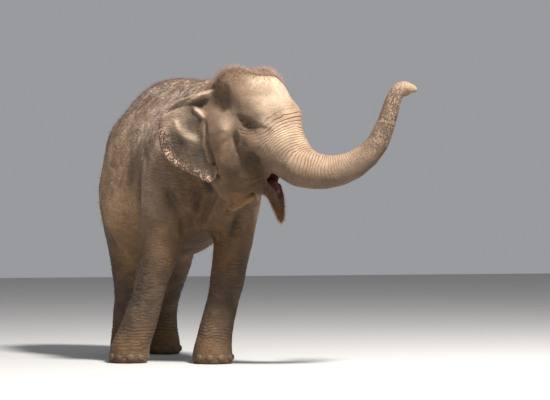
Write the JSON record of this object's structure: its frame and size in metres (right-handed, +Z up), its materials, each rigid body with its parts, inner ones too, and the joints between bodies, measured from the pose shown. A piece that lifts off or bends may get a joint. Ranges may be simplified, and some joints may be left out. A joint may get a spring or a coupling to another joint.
{
  "type": "asian elephant",
  "caption": "Asian elephant cow standing on all fours, head turned to her left, trunk raised in an upward curl and mouth open, as a still life-size model.",
  "frame": {"origin": "on the floor under the middle of the animal's bounding box", "axes": "+Z up, the body faces -Y, and +X is the animal's left; the soles lie at Z = 0"},
  "size_m": [2.2068, 3.2454, 2.4939],
  "materials": {
    "hide": "matte",
    "eye": "gloss",
    "nail": "satin",
    "hair": "matte"
  },
  "bodies": {
    "root": {"ear_left": "hide", "ear_right": "hide", "eye_left": "eye", "eye_right": "eye", "forequarters": "hide", "front_left_foot": "hide", "front_left_lower": "hide", "front_left_nail_1": "nail", "front_left_nail_2": "nail", "front_left_nail_3": "nail", "front_left_nail_4": "nail", "front_left_nail_5": "nail", "front_left_upper": "hide", "front_right_foot": "hide", "front_right_lower": "hide", "front_right_nail_1": "nail", "front_right_nail_2": "nail", "front_right_nail_3": "nail", "front_right_nail_4": "nail", "front_right_nail_5": "nail", "front_right_upper": "hide", "head": "hide", "hind_left_foot": "hide", "hind_left_lower": "hide", "hind_left_nail_1": "nail", "hind_left_nail_2": "nail", "hind_left_nail_3": "nail", "hind_left_nail_4": "nail", "hind_left_upper": "hide", "hind_right_foot": "hide", "hind_right_lower": "hide", "hind_right_nail_1": "nail", "hind_right_nail_2": "nail", "hind_right_nail_3": "nail", "hind_right_nail_4": "nail", "hind_right_upper": "hide", "hindquarters": "hide", "lower_jaw": "hide", "neck": "hide", "tail": "hide", "tail_tuft": "hair", "trunk_lower": "hide", "trunk_middle": "hide", "trunk_root": "hide", "trunk_tip": "hide", "trunk_upper": "hide"}
  },
  "joints": []
}
